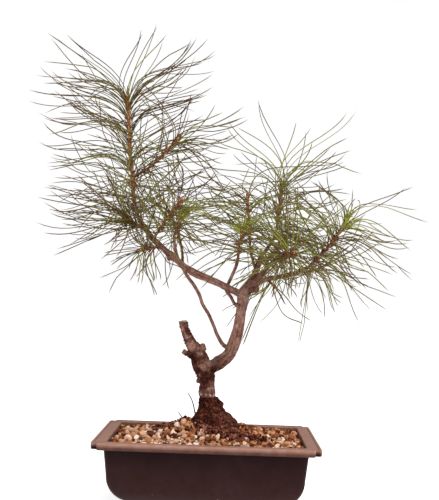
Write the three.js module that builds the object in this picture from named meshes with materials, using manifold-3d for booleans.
// A pine bonsai in a shallow rectangular training pot.
// Millimetres, +Z up. Everything is laid out with the pot's middle at x = y = 0 and its feet at z = 0,
// and the finished group is moved so that the origin lies at the middle of its bounding box's base.

import * as THREE from 'three';
import { mergeVertices } from 'three/addons/utils/BufferGeometryUtils.js';
import Module from 'manifold-3d';

const wasm = await Module();
wasm.setup();

// ---------------------------------------------------------------------------------------------
// Driving dimensions
// ---------------------------------------------------------------------------------------------

const GAP = 0.3;                 // air between neighbouring pieces

const POT_WIDTH = 254;           // a ten-inch pot, measured over the rim
const POT_DEPTH = 190;
const POT_HEIGHT = 78;
const LIP_HEIGHT = 8;            // the rim's turned-down edge
const RIM_TO_BODY = 12.7;         // how far the body stands in from the rim's edge
const RIM_WIDTH = 16;
const RIM_THICKNESS = 2.6;
const WALL = 2.5;
const BEAD_WIDTH = 2.4;          // the raised line along the rim's edge
const NOTCH = 7.5;               // the rim's corners are set in by this much
const NOTCH_ROUND = 2.4;
const BODY_CORNER_RADIUS = 7;
const BODY_TURN = 32;            // radius where the body turns under
const BODY_TURN_TOP = 40;        // height where the straight wall ends
const BODY_TURN_INSET = 16.5;    // rim edge to body at that height
const FOOT_HEIGHT = 6;
const FOOT_LENGTH = 24;
const FOOT_DEPTH = 18;
const FOOT_X = 58;
const FOOT_Y = 29;
const DRAIN_RADIUS = 10;
const DRAIN_X = 36;

const SCREEN_SIZE = 28;
const SCREEN_THICKNESS = 1.4;
const SCREEN_BAR = 2;
const SCREEN_HOLES = 3;          // openings along each side of a screen

const GRIT_EDGE_Z = 71;          // the grit's height at the pot's wall
const GRIT_SPACING = 18.6;       // between the middles of neighbouring stones
const GRIT_SIZE = 6.6;           // mean half-width of a stone

const NEEDLE_RADIUS = 0.55;
const NEEDLE_CLEARANCE = 0.35;   // between needles of different shoots
const GOLDEN_ANGLE = Math.PI * (3 - Math.sqrt(5));
const BENT_EVERY = 5;            // one needle in five has a knee
const CROWDING = 0.85;           // below 1, needles stand closer towards the tip
const LEANING = 2.2;             // above 1, needles turn up towards the stem late
const SHADE_LOSS = 0.4;          // a needle that hangs straight down is this much shorter
const MOST_TRIES = 60;

// ---------------------------------------------------------------------------------------------
// Helpers
// ---------------------------------------------------------------------------------------------

const point = (x, y, z) => new THREE.Vector3(x, y, z);

// A repeatable stream of numbers from 0 to 1.
function seededRandom(seed) {
  let state = seed >>> 0;
  return () => {
    state = (state + 0x6d2b79f5) >>> 0;
    let mixed = Math.imul(state ^ (state >>> 15), state | 1);
    mixed = (mixed + Math.imul(mixed ^ (mixed >>> 7), mixed | 61)) ^ mixed;
    return ((mixed ^ (mixed >>> 14)) >>> 0) / 4294967296;
  };
}

// Turns a closed geometry into a solid that can be joined and cut.
function solidOf(geometry) {
  const bare = geometry.clone();
  bare.deleteAttribute('normal');
  bare.deleteAttribute('uv');
  const merged = mergeVertices(bare, 1e-4);
  const vertProperties = new Float32Array(merged.attributes.position.array);
  const triVerts = new Uint32Array(merged.index.array);
  return new wasm.Manifold(new wasm.Mesh({ numProp: 3, vertProperties, triVerts }));
}

function geometryOf(solid) {
  const mesh = solid.getMesh();
  const geometry = new THREE.BufferGeometry();
  geometry.setAttribute('position', new THREE.BufferAttribute(new Float32Array(mesh.vertProperties), 3));
  geometry.setIndex(new THREE.BufferAttribute(new Uint32Array(mesh.triVerts), 1));
  geometry.computeVertexNormals();
  return geometry;
}

// A closed skin over a stack of rings. Each ring runs counter-clockwise about the way the stack
// goes. The first and last rings are closed flat, and a ring of one point makes a tip there.
function loft(rings) {
  const positions = [];
  const indices = [];
  const starts = [];
  for (const ring of rings) {
    starts.push(positions.length / 3);
    for (const p of ring) positions.push(p.x, p.y, p.z);
  }
  for (let k = 0; k + 1 < rings.length; k++) {
    const sides = Math.max(rings[k].length, rings[k + 1].length);
    for (let i = 0; i < sides; i++) {
      const a = starts[k] + i;
      const b = starts[k] + (i + 1) % sides;
      const c = starts[k + 1] + (i + 1) % sides;
      const d = starts[k + 1] + i;
      if (rings[k + 1].length === 1) indices.push(a, b, starts[k + 1]);
      else if (rings[k].length === 1) indices.push(starts[k], c, d);
      else indices.push(a, b, c, a, c, d);
    }
  }
  const last = rings.length - 1;
  for (let i = 1; i + 1 < rings[0].length; i++) indices.push(0, i + 1, i);
  for (let i = 1; i + 1 < rings[last].length; i++) {
    indices.push(starts[last], starts[last] + i, starts[last] + i + 1);
  }
  const geometry = new THREE.BufferGeometry();
  geometry.setAttribute('position', new THREE.Float32BufferAttribute(positions, 3));
  geometry.setIndex(indices);
  return geometry;
}

// A round tube of changing radius along [x, y, z, radius] points. roughness makes its section uneven,
// and pointed closes its end in a tip.
function limb(points, sides, { grow = 0, roughness = 0, seed = 1, pointed = false } = {}) {
  const random = seededRandom(seed);
  const centres = points.map(([x, y, z]) => point(x, y, z));
  const tangents = centres.map((centre, k) => {
    const before = centres[Math.max(k - 1, 0)];
    const after = centres[Math.min(k + 1, centres.length - 1)];
    return after.clone().sub(before).normalize();
  });
  const side = new THREE.Vector3().crossVectors(tangents[0], point(0.3, 1, 0.1)).normalize();
  const rings = centres.map((centre, k) => {
    side.addScaledVector(tangents[k], -side.dot(tangents[k])).normalize();
    const other = new THREE.Vector3().crossVectors(tangents[k], side);
    if (pointed && k === centres.length - 1) return [centre];
    const ring = [];
    for (let i = 0; i < sides; i++) {
      const angle = 2 * Math.PI * i / sides;
      const radius = points[k][3] * (1 + roughness * (random() - 0.5)) + grow;
      const p = centre.clone();
      p.addScaledVector(side, radius * Math.cos(angle));
      p.addScaledVector(other, radius * Math.sin(angle));
      ring.push(p);
    }
    return ring;
  });
  if (grow > 0) {
    for (const p of rings[0]) p.addScaledVector(tangents[0], -grow);
    for (const p of rings[rings.length - 1]) p.addScaledVector(tangents[tangents.length - 1], grow);
  }
  return loft(rings);
}

function box(width, depth, height, x, y, z) {
  return new THREE.BoxGeometry(width, depth, height).translate(x, y, z);
}

// Keeps the main body of a cut solid and drops loose scraps.
function mainBody(solid) {
  const bodies = solid.decompose();
  return bodies.reduce((best, body) => (body.volume() > best.volume() ? body : best));
}

// ---------------------------------------------------------------------------------------------
// The pot
// ---------------------------------------------------------------------------------------------

const CORNER_POINTS = 5;

// One level outline of the pot, set in from the rim's edge. The rim's corners are notched, and the
// body's corners are round.
function potOutline(inset, z, notched, radius = BODY_CORNER_RADIUS) {
  const w = POT_WIDTH / 2 - inset;
  const d = POT_DEPTH / 2 - inset;
  const n = NOTCH;
  const s = NOTCH_ROUND;
  const corner = [];
  for (let i = 0; i < CORNER_POINTS; i++) {
    const angle = Math.PI / 2 * i / (CORNER_POINTS - 1);
    corner.push([w - radius + radius * Math.cos(angle), d - radius + radius * Math.sin(angle)]);
  }
  const step = [
    [w, d - n - s], [w - s, d - n], [w - n, d - n], [w - n, d - s], [w - n - s, d],
  ];
  const quarter = notched ? step : corner;
  const mirrored = quarter.slice().reverse();
  return [
    ...quarter.map(([x, y]) => point(x, y, z)),
    ...mirrored.map(([x, y]) => point(-x, y, z)),
    ...quarter.map(([x, y]) => point(-x, -y, z)),
    ...mirrored.map(([x, y]) => point(x, -y, z)),
  ];
}

// The rings where a wall turns under, from the flat floor up to the straight wall. thickness is the
// distance in from the pot's outer skin.
function turnedWall(thickness) {
  const rings = [];
  const steps = 4;
  for (let i = 0; i <= steps; i++) {
    const angle = Math.PI / 2 * (1 - i / steps);
    const inset = BODY_TURN_INSET + BODY_TURN - (BODY_TURN - thickness) * Math.cos(angle);
    const drop = (BODY_TURN_TOP - FOOT_HEIGHT - thickness) * Math.sin(angle);
    rings.push(potOutline(inset, BODY_TURN_TOP - drop, false, BODY_CORNER_RADIUS));
  }
  return rings;
}

function makePot() {
  const top = POT_HEIGHT;
  const flat = top - 0.5;
  const underside = top - RIM_THICKNESS;
  const rings = [
    ...turnedWall(0),
    potOutline(RIM_TO_BODY, underside, false),
    potOutline(BEAD_WIDTH, underside, true),
    potOutline(2, top - LIP_HEIGHT, true),
    potOutline(0.3, top - LIP_HEIGHT, true),
    potOutline(0, top - 0.9, true),
    potOutline(0.8, top, true),
    potOutline(BEAD_WIDTH, top, true),
    potOutline(BEAD_WIDTH + 0.7, top - 0.9, true),
    potOutline(BEAD_WIDTH + 1.8, flat, true),
    potOutline(RIM_WIDTH - 0.8, flat, false),
    potOutline(RIM_WIDTH, flat - 0.9, false),
    ...turnedWall(WALL).reverse(),
  ];
  let pot = solidOf(loft(rings));
  const footTop = FOOT_HEIGHT + WALL / 2;
  for (const x of [-FOOT_X, FOOT_X]) {
    for (const y of [-FOOT_Y, FOOT_Y]) {
      pot = pot.add(solidOf(box(FOOT_LENGTH, FOOT_DEPTH, footTop, x, y, footTop / 2)));
    }
    const drain = new THREE.CylinderGeometry(DRAIN_RADIUS, DRAIN_RADIUS, 12, 16);
    drain.rotateX(Math.PI / 2).translate(Math.sign(x) * DRAIN_X, 0, FOOT_HEIGHT);
    pot = pot.subtract(solidOf(drain));
  }
  return pot;
}

// ---------------------------------------------------------------------------------------------
// The drain screens
// ---------------------------------------------------------------------------------------------

const FLOOR_Z = FOOT_HEIGHT + WALL;
const SCREEN_Z = FLOOR_Z + GAP;

function makeScreen(x) {
  const z = SCREEN_Z + SCREEN_THICKNESS / 2;
  const pitch = (SCREEN_SIZE - SCREEN_BAR) / SCREEN_HOLES;
  const opening = pitch - SCREEN_BAR;
  let screen = solidOf(box(SCREEN_SIZE, SCREEN_SIZE, SCREEN_THICKNESS, x, 0, z));
  for (let i = 0; i < SCREEN_HOLES; i++) {
    for (let j = 0; j < SCREEN_HOLES; j++) {
      const holeX = x + (i - (SCREEN_HOLES - 1) / 2) * pitch;
      const holeY = (j - (SCREEN_HOLES - 1) / 2) * pitch;
      screen = screen.subtract(solidOf(box(opening, opening, 3 * SCREEN_THICKNESS, holeX, holeY, z)));
    }
  }
  return screen;
}

// ---------------------------------------------------------------------------------------------
// The woody plant: trunk, stub, branches and bare twigs. Each point is [x, y, z, radius].
// ---------------------------------------------------------------------------------------------

const TRUNK = [
  [6, 0, 38, 4], [8, 0, 62, 7], [7, 0, 88, 8.2], [1.5, 0, 108, 8.4], [-0.6, 0, 120.5, 8.2],
  [-1, 0, 123.5, 9.9], [-2.4, 0, 138, 9.3], [-5, 0, 148, 10.6], [-10, 0, 157, 9.9], [-13, 0, 167, 9.9],
  [-18, 0, 176, 9.2], [-23.7, -2, 184.5, 6.2], [-27.9, -3, 193, 5.6], [-31.9, -4, 202, 5.3],
  [-33.4, -4, 211, 5.2],
];
const MAIN_BRANCH = [
  [-8, 0, 148, 7], [0.5, -1, 156, 7.2], [9.6, -2, 162, 7.7], [21.6, -3, 172, 7.3], [25.6, -4, 181, 7.3],
  [29.6, -4, 193, 6.9], [32.6, -4, 208, 6.2], [34.5, -3, 223, 6], [36, -2, 234, 6.6], [37, -1, 243, 7.1],
  [43.2, 1, 254.5, 5.7], [47.7, 3, 263, 4.5], [51, 6, 271.5, 3.8], [54, 10, 282, 3.3],
  [58, 14, 292, 2.9],
];
const LEFT_BRANCH = [
  [35, -1, 242.3, 4.5], [29, -2, 246.4, 4.1], [22.5, -4, 249, 3.9], [6.5, -8, 256.4, 3.9],
  [-9.5, -12, 262.5, 4.1], [-23, -15, 268, 4.4], [-34, -17, 274.4, 3.7], [-42.5, -18, 281.5, 3.6],
  [-49, -18, 286.5, 4.6], [-55, -17, 291, 3.5], [-63, -16, 298, 3.4], [-74, -14, 308, 3.2],
  [-84, -11, 322, 3],
];
const LONG_TWIG = [
  [24, -2, 178, 2.6], [14.5, 6, 183.5, 2.3], [8, 8, 193, 2.1], [1.5, 9, 207.5, 1.9], [-3.5, 9, 218, 1.9],
  [-11.5, 7, 230.5, 1.9], [-15.6, 3, 241.5, 1.9], [-23.2, -1, 254, 1.9], [-31, -4, 264, 1.9],
  [-36.5, -6, 274, 1.8], [-43, -8, 286, 1.8], [-46, -14, 298, 1.7], [-47, -21, 309, 1.6],
];
const SHORT_TWIG = [
  [32, -2, 230, 2.4], [27.5, 1, 232, 2], [22, 6, 240.5, 1.9], [16, 8, 250, 1.9], [18.5, 7, 256.5, 1.8],
  [23, 2, 267, 1.8], [27, -6, 278, 1.8], [29, -13, 287, 1.8],
];
const RIGHT_BRANCH = [
  [44, 0, 252, 4.1], [52, -4, 258, 3.2], [66, -10, 263.5, 2.7], [82, -14, 267, 2.6],
  [98, -16, 271.5, 2.5], [110, -17, 277, 2.6],
];
const FORE_BRANCH = [
  [45.5, 2, 255.5, 3.6], [51, -6, 261.5, 2.8], [57.5, -14, 269, 2.6], [65, -24, 278, 2.3],
  [71.5, -34, 285, 2.1],
];
// Old bud scars, snags and short dead spurs: [x, y, z] from, [x, y, z] to, radius.
const KNOBS = [
  [[-20, -4, 174], [-30.5, -6, 173.6], 3.6],
  [[-17, -4, 177], [-8, -6, 181.2], 4.4],
  [[-24, -3, 180], [-24.5, -8, 180], 4.2],
  [[-1, -4, 158], [-4, -9, 157.5], 5],
  [[-8, -2, 141], [-14.6, -2, 140], 2.6],
  [[-30, -5, 203], [-36.5, -7, 203.5], 2.4],
  [[36, -4, 236], [31, -9, 240], 2.8],
  [[37, -4, 243], [33, -8, 248], 2.6],
  [[41, 1, 250.5], [50, 1, 249], 5],
  [[-49, -18, 286.5], [-52, -24, 283], 3.2],
];

const LIMBS = [
  { points: TRUNK, sides: 10, seed: 11 },
  { points: MAIN_BRANCH, sides: 9, seed: 12 },
  { points: LEFT_BRANCH, sides: 7, seed: 13 },
  { points: LONG_TWIG, sides: 5, seed: 14 },
  { points: SHORT_TWIG, sides: 5, seed: 15 },
  { points: RIGHT_BRANCH, sides: 6, seed: 16 },
  { points: FORE_BRANCH, sides: 6, seed: 17 },
];
const BARK_ROUGHNESS = 0.16;

function makeTrunk(grow) {
  let wood = null;
  for (const { points, sides, seed } of LIMBS) {
    const piece = solidOf(limb(points, sides, { grow, roughness: BARK_ROUGHNESS, seed }));
    wood = wood ? wood.add(piece) : piece;
  }
  for (const [from, to, radius] of KNOBS) {
    const knob = limb([[...from, radius], [...to, radius * 0.8]], 6, { grow, roughness: 0.2, seed: 21 });
    wood = wood.add(solidOf(knob));
  }
  return wood;
}

// ---------------------------------------------------------------------------------------------
// The root ball
// ---------------------------------------------------------------------------------------------

// Level sections of the root ball: [height, reach to the left, reach to the right].
const ROOT_BALL = [
  [20, 18, 24], [36, 26, 34], [60, 31, 40], [80, 29, 40], [88, 25, 36.5], [94, 21.5, 32.5],
  [100, 18.6, 26], [105, 15, 19.8], [110, 12.6, 15.4], [115, 11.8, 13.6], [121.5, 11.3, 10.6],
];

const ROOT_BALL_SIDES = 12;

// The root ball's skin, swollen by grow and carried on upward by rise.
function rootBallShape(grow, rise) {
  const random = seededRandom(31);
  const rings = ROOT_BALL.map(([z, left, right], k) => {
    const lift = k === 0 ? -grow : k === ROOT_BALL.length - 1 ? rise : 0;
    const ring = [];
    for (let i = 0; i < ROOT_BALL_SIDES; i++) {
      const angle = 2 * Math.PI * i / ROOT_BALL_SIDES;
      const radius = (left + right) / 2 * (1 + 0.14 * (random() - 0.5)) + grow;
      const x = (right - left) / 2 + radius * Math.cos(angle);
      ring.push(point(x, 0.92 * radius * Math.sin(angle), z + lift));
    }
    return ring;
  });
  return solidOf(loft(rings));
}

// ---------------------------------------------------------------------------------------------
// The grit
// ---------------------------------------------------------------------------------------------

// Height of the grit: low along the walls, doming to the trunk, with a heap in front of its left side.
function gritHeight(x, y) {
  const dome = 17 * Math.exp(-((x - 8) ** 2) / 78 ** 2 - y ** 2 / 52 ** 2);
  const heap = 9 * Math.exp(-((x + 21) ** 2) / 20 ** 2 - (y + 16) ** 2 / 22 ** 2);
  return GRIT_EDGE_Z + dome + heap;
}

const STONE_SINK = 3;            // the packed filling lies this far under the stones' middles
const BED_RINGS = [[0, 0], [32, 7], [66, 4]];    // [inset from the wall, corner radius]

function makeGrit(rootSpace) {
  const inset = GAP + WALL;
  const edgeInset = RIM_WIDTH + GAP + (BODY_TURN_INSET + WALL - RIM_WIDTH) * 0.25;
  const slabTop = GRIT_EDGE_Z - 1;
  const rings = turnedWall(inset);
  for (const [extra, radius] of BED_RINGS) {
    const ring = potOutline(edgeInset + extra, slabTop, false, radius || BODY_CORNER_RADIUS);
    if (extra > 0) for (const p of ring) p.z = gritHeight(p.x, p.y) - STONE_SINK;
    rings.push(ring);
  }
  let grit = solidOf(loft(rings));

  // The pot's inner space, a little way in from the walls, which no stone leaves.
  const space = solidOf(loft([
    ...turnedWall(inset),
    potOutline(edgeInset, slabTop, false),
    potOutline(edgeInset, POT_HEIGHT + 40, false),
  ]));

  const random = seededRandom(41);
  const rows = Math.floor((POT_DEPTH - 2 * edgeInset) / (GRIT_SPACING * 0.866));
  const columns = Math.floor((POT_WIDTH - 2 * edgeInset) / GRIT_SPACING);
  for (let row = 0; row <= rows; row++) {
    for (let column = 0; column <= columns; column++) {
      const shift = row % 2 ? 0.25 : -0.25;
      const x = (column - columns / 2 + shift + 0.3 * (random() - 0.5)) * GRIT_SPACING;
      const y = (row - rows / 2 + 0.3 * (random() - 0.5)) * GRIT_SPACING * 0.866;
      const stone = new THREE.OctahedronGeometry(GRIT_SIZE, 0);
      stone.scale(0.85 + 0.4 * random(), 0.85 + 0.4 * random(), 0.8 + 0.3 * random());
      stone.rotateX(0.5 * random()).rotateY(0.5 * random()).rotateZ(6.3 * random());
      stone.translate(x, y, gritHeight(x, y) - 0.8 + 1.6 * random());
      grit = grit.add(solidOf(stone));
    }
  }
  grit = grit.intersect(space).subtract(rootSpace);
  for (const x of [-DRAIN_X, DRAIN_X]) {
    const pocket = SCREEN_SIZE + 2 * GAP;
    const height = 2 * (SCREEN_THICKNESS + 2 * GAP);
    grit = grit.subtract(solidOf(box(pocket, pocket, height, x, 0, FLOOR_Z)));
  }
  return mainBody(grit);
}

// ---------------------------------------------------------------------------------------------
// The leafy shoots. Each stem is a list of [x, y, z, radius] points that ends in its bud, and from is
// the share of the stem that is bare. spread is [at the foot, at the tip]: the angle in degrees
// between the stem and its needles.
// ---------------------------------------------------------------------------------------------

const SHOOTS = [
  {
    name: 'shoot_left_leader', seed: 7895, needles: 78, length: [98, 116], from: 0, spread: [72, 57],
    stem: [
      [-84, -11, 322, 2.8], [-91.5, -9, 333, 2.7], [-96.5, -6, 349, 2.6], [-98.5, -3, 365, 2.6],
      [-100, 0, 379, 3], [-102, 0.5, 388, 1.9], [-104, 1, 401, 1.8], [-106, 1.5, 425, 1.7],
      [-108, 2, 449, 1.6], [-109.5, 2, 474, 1.6],
    ],
    reach: [
      [0.97, -111, -20, 556], [0.96, -76, -20, 561], [0.95, -205, -24, 545], [0.93, -191, -38, 537],
      [0.91, -15, -20, 546], [0.88, -6, 4, 538], [0.84, -8, -20, 505], [0.89, -216, -20, 501],
      [0.86, -226, -16, 474], [0.83, -203, -5, 494], [0.8, -196, -30, 486], [0.75, -216, 6, 451],
      [0.7, -200, -14, 446], [0.45, -204, -4, 396],
    ],
  },
  {
    name: 'shoot_left_fore', seed: 5563, needles: 22, length: [67, 120], from: 0.05, spread: [89, 52],
    stem: [[-98, -1, 380, 1.9], [-75, -15, 394, 1.7], [-58, -28, 410, 1.6], [-47, -37, 420, 1.6]],
    reach: [
      [0.95, 31, -30, 451], [0.9, 26, -34, 432], [0.86, 21, -22, 427], [0.82, 38, -60, 425],
      [0.75, -3, -30, 465], [0.7, 12, -62, 404],
    ],
  },
  {
    name: 'shoot_left_red', seed: 4152, needles: 23, length: [69, 97], from: 0.07, spread: [86, 69],
    stem: [[-72, -14, 306, 1.9], [-57, -34, 326, 1.7], [-47, -46, 339, 1.6], [-40, -53, 348, 1.6]],
    reach: [[0.92, 36, -62, 356], [0.85, 28, -84, 344]],
  },
  {
    name: 'shoot_left_fresh', seed: 3599, needles: 18, length: [58, 99], from: 0, spread: [78, 54],
    stem: [[-47, -21, 309, 1.6], [-44, -24, 317, 1.6], [-40.5, -28, 327, 1.6]],
    reach: [],
  },
  {
    name: 'shoot_left_spur', seed: 5551, needles: 28, length: [75, 100], from: 0.2, spread: [55, 30],
    stem: [[-80, -12, 315, 1.8], [-89, -20, 320, 1.7], [-98, -28, 326, 1.6]],
    reach: [[0.9, -199, -20, 366], [0.8, -208, -30, 347], [0.7, -206, -42, 320], [0.5, -181, -54, 291]],
  },
  {
    name: 'shoot_left_low', seed: 5382, needles: 26, length: [51, 76], from: 0, spread: [96, 51],
    stem: [[-63, -16, 298, 1.8], [-72, -22, 295, 1.7], [-82, -29, 293, 1.6]],
    reach: [[0.5, -126, -6, 245]],
  },
  {
    name: 'shoot_left_back', seed: 9144, needles: 18, length: [69, 100], from: 0.48, spread: [84, 63],
    stem: [[-36, -15, 275, 1.9], [-38, 6, 291, 1.8], [-45, 30, 316, 1.7], [-56, 52, 341, 1.6]],
    reach: [],
  },
  {
    name: 'shoot_left_crown', seed: 3325, needles: 13, length: [78, 96], from: 0.25, spread: [83, 22],
    stem: [[-98, -3, 368, 1.9], [-102, 16, 372, 1.8], [-104, 36, 380, 1.7], [-107, 52, 386, 1.6]],
    reach: [],
  },
  {
    name: 'shoot_middle', seed: 6972, needles: 25, length: [72, 97], from: 0, spread: [111, 42],
    stem: [[29, -13, 287, 1.8], [29, -19, 297, 1.7], [32, -25, 314, 1.6]],
    reach: [],
  },
  {
    name: 'shoot_inner', seed: 5710, needles: 19, length: [58, 98], from: 0.3, spread: [77, 58],
    stem: [[51, 6, 271.5, 1.9], [44, 3, 296, 1.8], [41, -3, 327, 1.7], [38, -10, 358, 1.6]],
    reach: [],
  },
  {
    name: 'shoot_right_leader', seed: 4806, needles: 35, length: [83, 111], from: 0.16, spread: [83, 50],
    stem: [
      [58, 14, 292, 2.4], [66, 14, 303, 2.1], [72, 12, 314, 1.9], [76, 8, 341, 1.7], [79, 5, 372, 1.6],
    ],
    reach: [
      [0.95, 47, 0, 479], [0.95, 163, -6, 465], [0.9, 113, 5, 450], [0.88, 120, -10, 431],
      [0.8, 143, -5, 419], [0.7, 154, -14, 401],
    ],
  },
  {
    name: 'shoot_right_tip', seed: 5731, needles: 46, length: [59, 112], from: 0.07, spread: [93, 69],
    stem: [[110, -17, 277, 2.2], [125, -26, 293, 1.9], [135, -34, 305, 1.7], [147, -43, 325, 1.6]],
    reach: [
      [0.9, 226, -50, 374], [0.85, 244, -50, 340], [0.75, 237, -24, 273], [0.6, 211, -66, 306],
      [0.3, 189, -10, 230],
    ],
  },
  {
    name: 'shoot_right_fore', seed: 4124, needles: 47, length: [62, 92], from: 0.17, spread: [119, 66],
    stem: [[71.5, -34, 285, 1.9], [79, -51, 288, 1.7], [89, -70, 293, 1.6]],
    reach: [],
  },
  {
    name: 'shoot_right_back', seed: 5767, needles: 31, length: [61, 95], from: 0.07, spread: [119, 58],
    stem: [[55, 11, 284, 2], [65, 34, 288, 1.8], [79, 53, 301, 1.7], [92, 71, 320, 1.6]],
    reach: [],
  },
  {
    name: 'shoot_right_low', seed: 2542, needles: 20, length: [62, 96], from: 0.09, spread: [96, 26],
    stem: [[98, -16, 271.5, 1.9], [114, -1, 274, 1.8], [127, 10, 278, 1.7], [139, 21, 285, 1.6]],
    reach: [[0.6, 152, 10, 232]],
  },
  {
    name: 'shoot_right_under', seed: 525, needles: 3, length: [45, 76], from: 0.3, spread: [89, 34],
    stem: [[64, -9, 263, 1.7], [68, -14, 259, 1.6], [72, -19, 255, 1.5]],
    reach: [[0.4, 38, -20, 183], [0.8, 117, -32, 216]],
  },
];
const ANGLE_RANGE = 34; // degrees that a needle may stand off its shoot's spread, from end to end
const TURN_RANGE = 0.9; // radians that it may stand off the golden angle, from end to end
const TRIES_TO_LOOSEN = 12; // after this many tries the turn may be off by twice as much
const LEAST_BOW = 0.05; // how far the knee of a bent needle stands out, as a share of its length
const BOW_RANGE = 0.08;
const REACHING_BOW = 0.06;
const KNEE_AT = 0.4; // the share of a bent needle at which its knee lies
const STEM_SIDES = 5;
const BUD_LENGTH = 9;
const BUD_SWELL = 1.45;

// The stem's own points with its bud: a swelling that runs out in a point.
function stemWithBud(stem) {
  const [x, y, z, radius] = stem[stem.length - 1];
  const [px, py, pz] = stem[stem.length - 2];
  const way = point(x - px, y - py, z - pz).normalize();
  const along = (distance, r) => [x + way.x * distance, y + way.y * distance, z + way.z * distance, r];
  return [
    ...stem,
    along(0.35 * BUD_LENGTH, radius * BUD_SWELL),
    along(0.7 * BUD_LENGTH, radius * 0.9),
    along(BUD_LENGTH, 0),
  ];
}

// The point, direction and radius at a share of a stem's length.
function pointOnStem(stem, share) {
  const centres = stem.map(([x, y, z]) => point(x, y, z));
  const lengths = centres.slice(1).map((centre, k) => centre.distanceTo(centres[k]));
  let left = share * lengths.reduce((sum, length) => sum + length, 0);
  let k = 0;
  while (k < lengths.length - 1 && left > lengths[k]) {
    left -= lengths[k];
    k += 1;
  }
  const way = centres[k + 1].clone().sub(centres[k]).normalize();
  const radius = THREE.MathUtils.lerp(stem[k][3], stem[k + 1][3], left / lengths[k]);
  return { at: centres[k].clone().addScaledVector(way, left), way, radius };
}

// Least distance between the segments a-b and c-d.
function segmentDistance(a, b, c, d) {
  const u = b.clone().sub(a);
  const v = d.clone().sub(c);
  const w = a.clone().sub(c);
  const uu = u.dot(u);
  const uv = u.dot(v);
  const vv = v.dot(v);
  const uw = u.dot(w);
  const vw = v.dot(w);
  const clamp = (value) => Math.min(Math.max(value, 0), 1);
  const denominator = uu * vv - uv * uv;
  let s = denominator > 1e-9 ? clamp((uv * vw - vv * uw) / denominator) : 0;
  const t = clamp((uv * s + vw) / vv);
  s = clamp((uv * t - uw) / uu);
  return w.addScaledVector(u, s).addScaledVector(v, -t).length();
}

// Every stretch of wood and needle that a new needle has to keep clear of.
const taken = [];

function isClear(owner, path) {
  for (const other of taken) {
    const clearance = other.owner === owner ? 0.1 : NEEDLE_CLEARANCE;
    const least = NEEDLE_RADIUS + other.radius + clearance;
    for (let k = 1; k < path.length; k++) {
      if (other.owner === owner && (other.isStem || k === 1)) continue;
      if (segmentDistance(path[k - 1], path[k], other.from, other.to) < least) return false;
    }
  }
  return true;
}

function takeUp(owner, path, radii, isStem) {
  for (let k = 1; k < path.length; k++) {
    const radius = Math.max(radii[k - 1], radii[k]);
    taken.push({ owner, from: path[k - 1], to: path[k], radius, isStem });
  }
}

// A needle from its root on the stem's middle to its tip. foot is where it is thickest, just clear of
// the stem, and a bent needle also has a knee.
function needlePath(root, way, tip, stemRadius, bow) {
  const reach = tip.clone().sub(root);
  const slant = Math.max(reach.clone().normalize().cross(way).length(), 0.45);
  const footShare = (1.25 * stemRadius / slant + 0.6) / reach.length();
  if (bow === 0) return [root, root.clone().addScaledVector(reach, footShare), tip];
  const knee = root.clone().addScaledVector(reach, KNEE_AT).addScaledVector(way, bow * reach.length());
  return [root, root.clone().lerp(knee, footShare / KNEE_AT), knee, tip];
}

function needleTip(root, way, angle, turn, length) {
  const side = new THREE.Vector3().crossVectors(way, point(0.12, -0.4, 0.9)).normalize();
  const other = new THREE.Vector3().crossVectors(way, side);
  const tip = root.clone().addScaledVector(way, length * Math.cos(angle));
  tip.addScaledVector(side, length * Math.sin(angle) * Math.cos(turn));
  return tip.addScaledVector(other, length * Math.sin(angle) * Math.sin(turn));
}

// The tip drawn in, if it hangs below its root: what grows in the shade stays shorter.
function shaded(root, tip) {
  const reach = tip.clone().sub(root);
  return root.clone().addScaledVector(reach, 1 - SHADE_LOSS * Math.max(0, -reach.z / reach.length()));
}

// Tries a needle, and keeps it if it has found its room.
function tryNeedle(shoot, path) {
  if (!isClear(shoot.name, path)) return false;
  shoot.paths.push(path);
  takeUp(shoot.name, path, path.map(() => NEEDLE_RADIUS), false);
  return true;
}

// The needles of a shoot: first those that reach the crown's outline, then the rest, which turn round
// the stem by the golden angle and stand closer to it towards the tip.
function placeNeedles(shoot) {
  const random = seededRandom(shoot.seed);
  shoot.paths = [];
  for (const [share, x, y, z] of shoot.reach) {
    const { at, way, radius } = pointOnStem(shoot.stem, share);
    for (let attempt = 0; attempt < MOST_TRIES; attempt++) {
      const tip = point(x, y + attempt * (random() - 0.5), z);
      if (tryNeedle(shoot, needlePath(at, way, tip, radius, REACHING_BOW))) break;
    }
  }
  for (let i = 0; i < shoot.needles; i++) {
    const ripeness = ((i + 0.5) / shoot.needles) ** CROWDING;
    const { at, way, radius } = pointOnStem(shoot.stem, shoot.from + (1 - shoot.from) * ripeness);
    const spread = THREE.MathUtils.lerp(shoot.spread[0], shoot.spread[1], ripeness ** LEANING);
    for (let attempt = 0; attempt < MOST_TRIES; attempt++) {
      const angle = THREE.MathUtils.degToRad(spread + ANGLE_RANGE * (random() - 0.5));
      const turn = i * GOLDEN_ANGLE + TURN_RANGE * (random() - 0.5) * (1 + attempt / TRIES_TO_LOOSEN);
      const length = THREE.MathUtils.lerp(shoot.length[0], shoot.length[1], random());
      const tip = shaded(at, needleTip(at, way, angle, turn, length));
      const bow = i % BENT_EVERY === 0 ? LEAST_BOW + BOW_RANGE * random() : 0;
      if (tryNeedle(shoot, needlePath(at, way, tip, radius, bow))) break;
    }
  }
}

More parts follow.
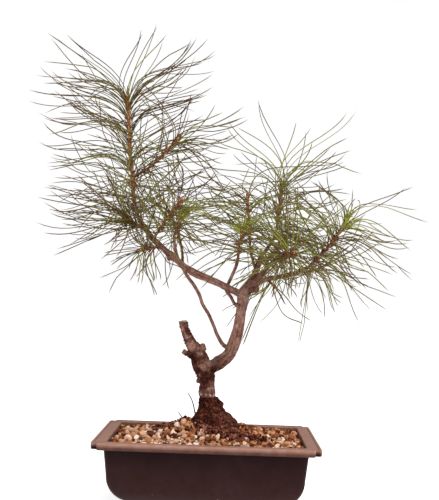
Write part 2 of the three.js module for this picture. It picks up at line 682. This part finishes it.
// A three-sided needle: a point sunk in the stem, a section at each bend and a fine tip.
function needleSolid(path) {
  const last = path.length - 1;
  const way = path[last].clone().sub(path[0]).normalize();
  const side = new THREE.Vector3().crossVectors(way, point(0.3, 1, 0.1)).normalize();
  const other = new THREE.Vector3().crossVectors(way, side);
  const rings = path.map((centre, k) => {
    if (k === 0 || k === last) return [centre];
    return [0, 1, 2].map((i) => {
      const angle = 2 * Math.PI * i / 3;
      const p = centre.clone().addScaledVector(side, NEEDLE_RADIUS * Math.cos(angle));
      return p.addScaledVector(other, NEEDLE_RADIUS * Math.sin(angle));
    });
  });
  return solidOf(loft(rings));
}

function makeShoot(shoot, woodSpace, parentStem) {
  const stem = stemWithBud(shoot.stem);
  let body = solidOf(limb(stem, STEM_SIDES, { pointed: true })).subtract(woodSpace);
  if (parentStem) body = body.subtract(parentStem);
  body = mainBody(body);
  for (const path of shoot.paths) body = body.add(needleSolid(path));
  return body;
}

// ---------------------------------------------------------------------------------------------
// Materials and assembly
// ---------------------------------------------------------------------------------------------

const finish = (color, roughness, metalness = 0) => (
  new THREE.MeshStandardMaterial({ color, roughness, metalness, flatShading: true })
);
const POT_PLASTIC = finish(0x46312f, 0.55);
const SCREEN_PLASTIC = finish(0x2a2a2a, 0.6);
const CLAY_GRIT = finish(0xb07a50, 0.95);
const PEAT = finish(0x4a2418, 1);
const BARK = finish(0x7c5f57, 0.95);
const NEEDLE_GREEN = finish(0x55702f, 0.55);

const plant = new THREE.Group();

function place(name, solid, material) {
  const mesh = new THREE.Mesh(geometryOf(solid), material);
  mesh.name = name;
  plant.add(mesh);
}

const trunk = makeTrunk(0);
const woodSpace = makeTrunk(GAP);
for (const { points } of LIMBS) {
  takeUp('trunk', points.map(([x, y, z]) => point(x, y, z)), points.map((p) => p[3] * 1.08), true);
}
for (const [from, to, radius] of KNOBS) {
  takeUp('trunk', [point(...from), point(...to)], [radius, radius], true);
}
for (const { name, stem } of SHOOTS) {
  const line = stemWithBud(stem);
  takeUp(name, line.map(([x, y, z]) => point(x, y, z)), line.map((p) => p[3]), true);
}
for (const shoot of SHOOTS) placeNeedles(shoot);

const leaderStem = solidOf(limb(SHOOTS[0].stem, STEM_SIDES, { grow: GAP }));
place('pot', makePot(), POT_PLASTIC);
place('drain_screen_left', makeScreen(-DRAIN_X), SCREEN_PLASTIC);
place('drain_screen_right', makeScreen(DRAIN_X), SCREEN_PLASTIC);
place('soil_grit', makeGrit(rootBallShape(1.5 * GAP, 5)), CLAY_GRIT);
place('root_ball', mainBody(rootBallShape(0, 0).subtract(woodSpace)), PEAT);
place('trunk', trunk, BARK);
for (const shoot of SHOOTS) {
  const growsFromLeader = ['shoot_left_fore', 'shoot_left_crown'].includes(shoot.name);
  place(shoot.name, makeShoot(shoot, woodSpace, growsFromLeader ? leaderStem : null), NEEDLE_GREEN);
}

// The origin is the middle of the whole plant's bounding box, at the feet's level.
const bounds = new THREE.Box3().setFromObject(plant);
const middle = bounds.getCenter(new THREE.Vector3());
for (const mesh of plant.children) mesh.position.set(-middle.x, -middle.y, -bounds.min.z);

export default plant;
